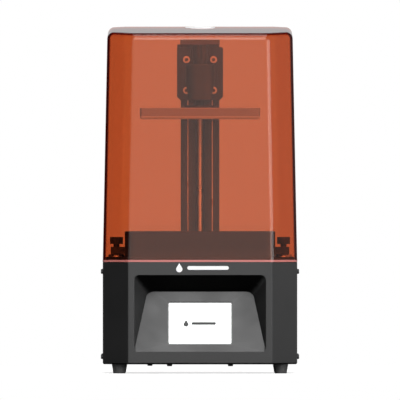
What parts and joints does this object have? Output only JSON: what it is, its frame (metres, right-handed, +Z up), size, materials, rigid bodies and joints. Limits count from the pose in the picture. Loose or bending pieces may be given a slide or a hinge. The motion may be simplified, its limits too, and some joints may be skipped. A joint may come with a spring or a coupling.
{
  "type": "resin printer",
  "caption": "Desktop resin printer: dark case with a tilted touch panel, lift-off tinted cover, resin vat, and a screw-driven platform on a vertical axis.",
  "frame": {"origin": "centre of the footprint on the plane that the feet stand on", "axes": "+Z up, -Y is the front with the touch panel, +X to the right seen from the front"},
  "size_m": [0.2346, 0.2026, 0.4118],
  "materials": {
    "case_dark": "satin, fine moulded texture",
    "sheet_dark": "satin powder coat",
    "rubber_dark": "matte",
    "screw_steel": "zinc plated",
    "screw_black": "black oxide",
    "badge_white": "printed white",
    "clear_glass": "polished",
    "screen_lit": "lit display",
    "board_green": "solder mask",
    "chip_black": "epoxy",
    "deck_black": "black anodised",
    "lcd_dark": "polished, dark",
    "lens_clear": "clear moulded",
    "led_white": "lamp body",
    "bare_aluminium": "extruded",
    "platform_aluminium": "anodised, sandblasted face",
    "fan_black": "moulded",
    "column_black": "black anodised",
    "rail_steel": "ground",
    "rail_black": "black oxide",
    "nut_brass": "machined",
    "vat_black": "black anodised",
    "film_clear": "clear film",
    "knob_black": "moulded",
    "cap_grey": "moulded",
    "cover_orange": "tinted, polished acrylic"
  },
  "bodies": {
    "chassis": {"front_fascia": "case_dark", "rear_housing": "case_dark", "base_plate": "sheet_dark", "feet": "rubber_dark", "case_screws": "screw_black", "front_badge": "badge_white", "touch_glass": "clear_glass", "touch_display": "screen_lit", "touch_board": "board_green", "top_deck": "deck_black", "thumb_bushings": "screw_steel", "lcd_panel": "lcd_dark", "exposure_glass": "clear_glass", "uv_housing": "sheet_dark", "uv_lens_plate": "lens_clear", "uv_led_board": "bare_aluminium", "uv_leds": "led_white", "heat_sink": "bare_aluminium", "light_fan_frame": "fan_black", "rear_fan_frame": "fan_black", "standoffs": "nut_brass", "main_board": "board_green", "board_parts": "chip_black", "usb_socket": "screw_steel", "power_inlet": "screw_steel", "switch_body": "fan_black", "motor_bracket": "sheet_dark", "z_motor": "screw_black", "z_column": "column_black", "column_foot": "column_black", "column_bolts": "screw_steel", "column_cap": "cap_grey", "linear_rails": "rail_black", "limit_sensor": "fan_black", "vat_frame": "vat_black", "vat_film": "film_clear", "film_ring": "rail_steel", "film_screws": "screw_steel"},
    "cover": {"uv_cover": "cover_orange", "cover_badge": "badge_white"},
    "carriage": {"guide_blocks": "rail_steel", "lead_nut": "nut_brass", "limit_flag": "screw_black", "carriage_plate": "column_black", "carriage_screws": "screw_steel", "platform_arm": "column_black", "ball_retainer": "column_black", "retainer_screws": "screw_steel"},
    "clamp_knob": {"platform_knob": "knob_black"},
    "platform": {"ball_stud": "rail_black", "stud_screws": "screw_black", "build_platform": "platform_aluminium"},
    "screw": {"motor_shaft": "screw_steel", "screw_coupling": "bare_aluminium", "lead_screw": "rail_steel"},
    "thumb_left": {"thumbscrew_left": "knob_black"},
    "thumb_right": {"thumbscrew_right": "knob_black"},
    "rocker": {"power_rocker": "fan_black"},
    "light_fan": {"light_fan_rotor": "fan_black"},
    "rear_fan": {"rear_fan_rotor": "fan_black"}
  },
  "joints": [
    {"name": "cover_lift", "type": "slide", "parent": "chassis", "child": "cover", "axis": [0, 0, 1], "range_m": [0, 0.28]},
    {"name": "platform_lift", "type": "slide", "parent": "chassis", "child": "carriage", "axis": [0, 0, 1], "range_m": [-0.159, 0]},
    {"name": "platform_tilt", "type": "hinge", "parent": "carriage", "child": "platform", "pos_m": [0, -0.022, 0.331], "axis": [1, 0, 0], "range_deg": [-1, 1]},
    {"name": "clamp_knob_turn", "type": "hinge", "parent": "carriage", "child": "clamp_knob", "pos_m": [0, -0.022, 0.377], "axis": [0, 0, 1], "range_deg": [0, 675]},
    {"name": "screw_spin", "type": "hinge", "parent": "chassis", "child": "screw", "pos_m": [0, 0.067, 0.25], "axis": [0, 0, 1], "continuous": true},
    {"name": "thumb_left_turn", "type": "hinge", "parent": "chassis", "child": "thumb_left", "pos_m": [-0.099, -0.022, 0.15], "axis": [0, 0, 1], "range_deg": [0, 1350]},
    {"name": "thumb_right_turn", "type": "hinge", "parent": "chassis", "child": "thumb_right", "pos_m": [0.099, -0.022, 0.15], "axis": [0, 0, 1], "range_deg": [0, 1350]},
    {"name": "rocker_tip", "type": "hinge", "parent": "chassis", "child": "rocker", "pos_m": [0.06, 0.0975, 0.064], "axis": [1, 0, 0], "range_deg": [-16, 0]},
    {"name": "light_fan_spin", "type": "hinge", "parent": "chassis", "child": "light_fan", "pos_m": [0, -0.022, 0.027], "axis": [0, 0, 1], "continuous": true},
    {"name": "rear_fan_spin", "type": "hinge", "parent": "chassis", "child": "rear_fan", "pos_m": [-0.06, 0.09, 0.072], "axis": [0, 1, 0], "continuous": true}
  ],
  "couplings": [
    {"joint": "screw_spin", "follows": "platform_lift", "rad_per_m": -1570.8}
  ]
}
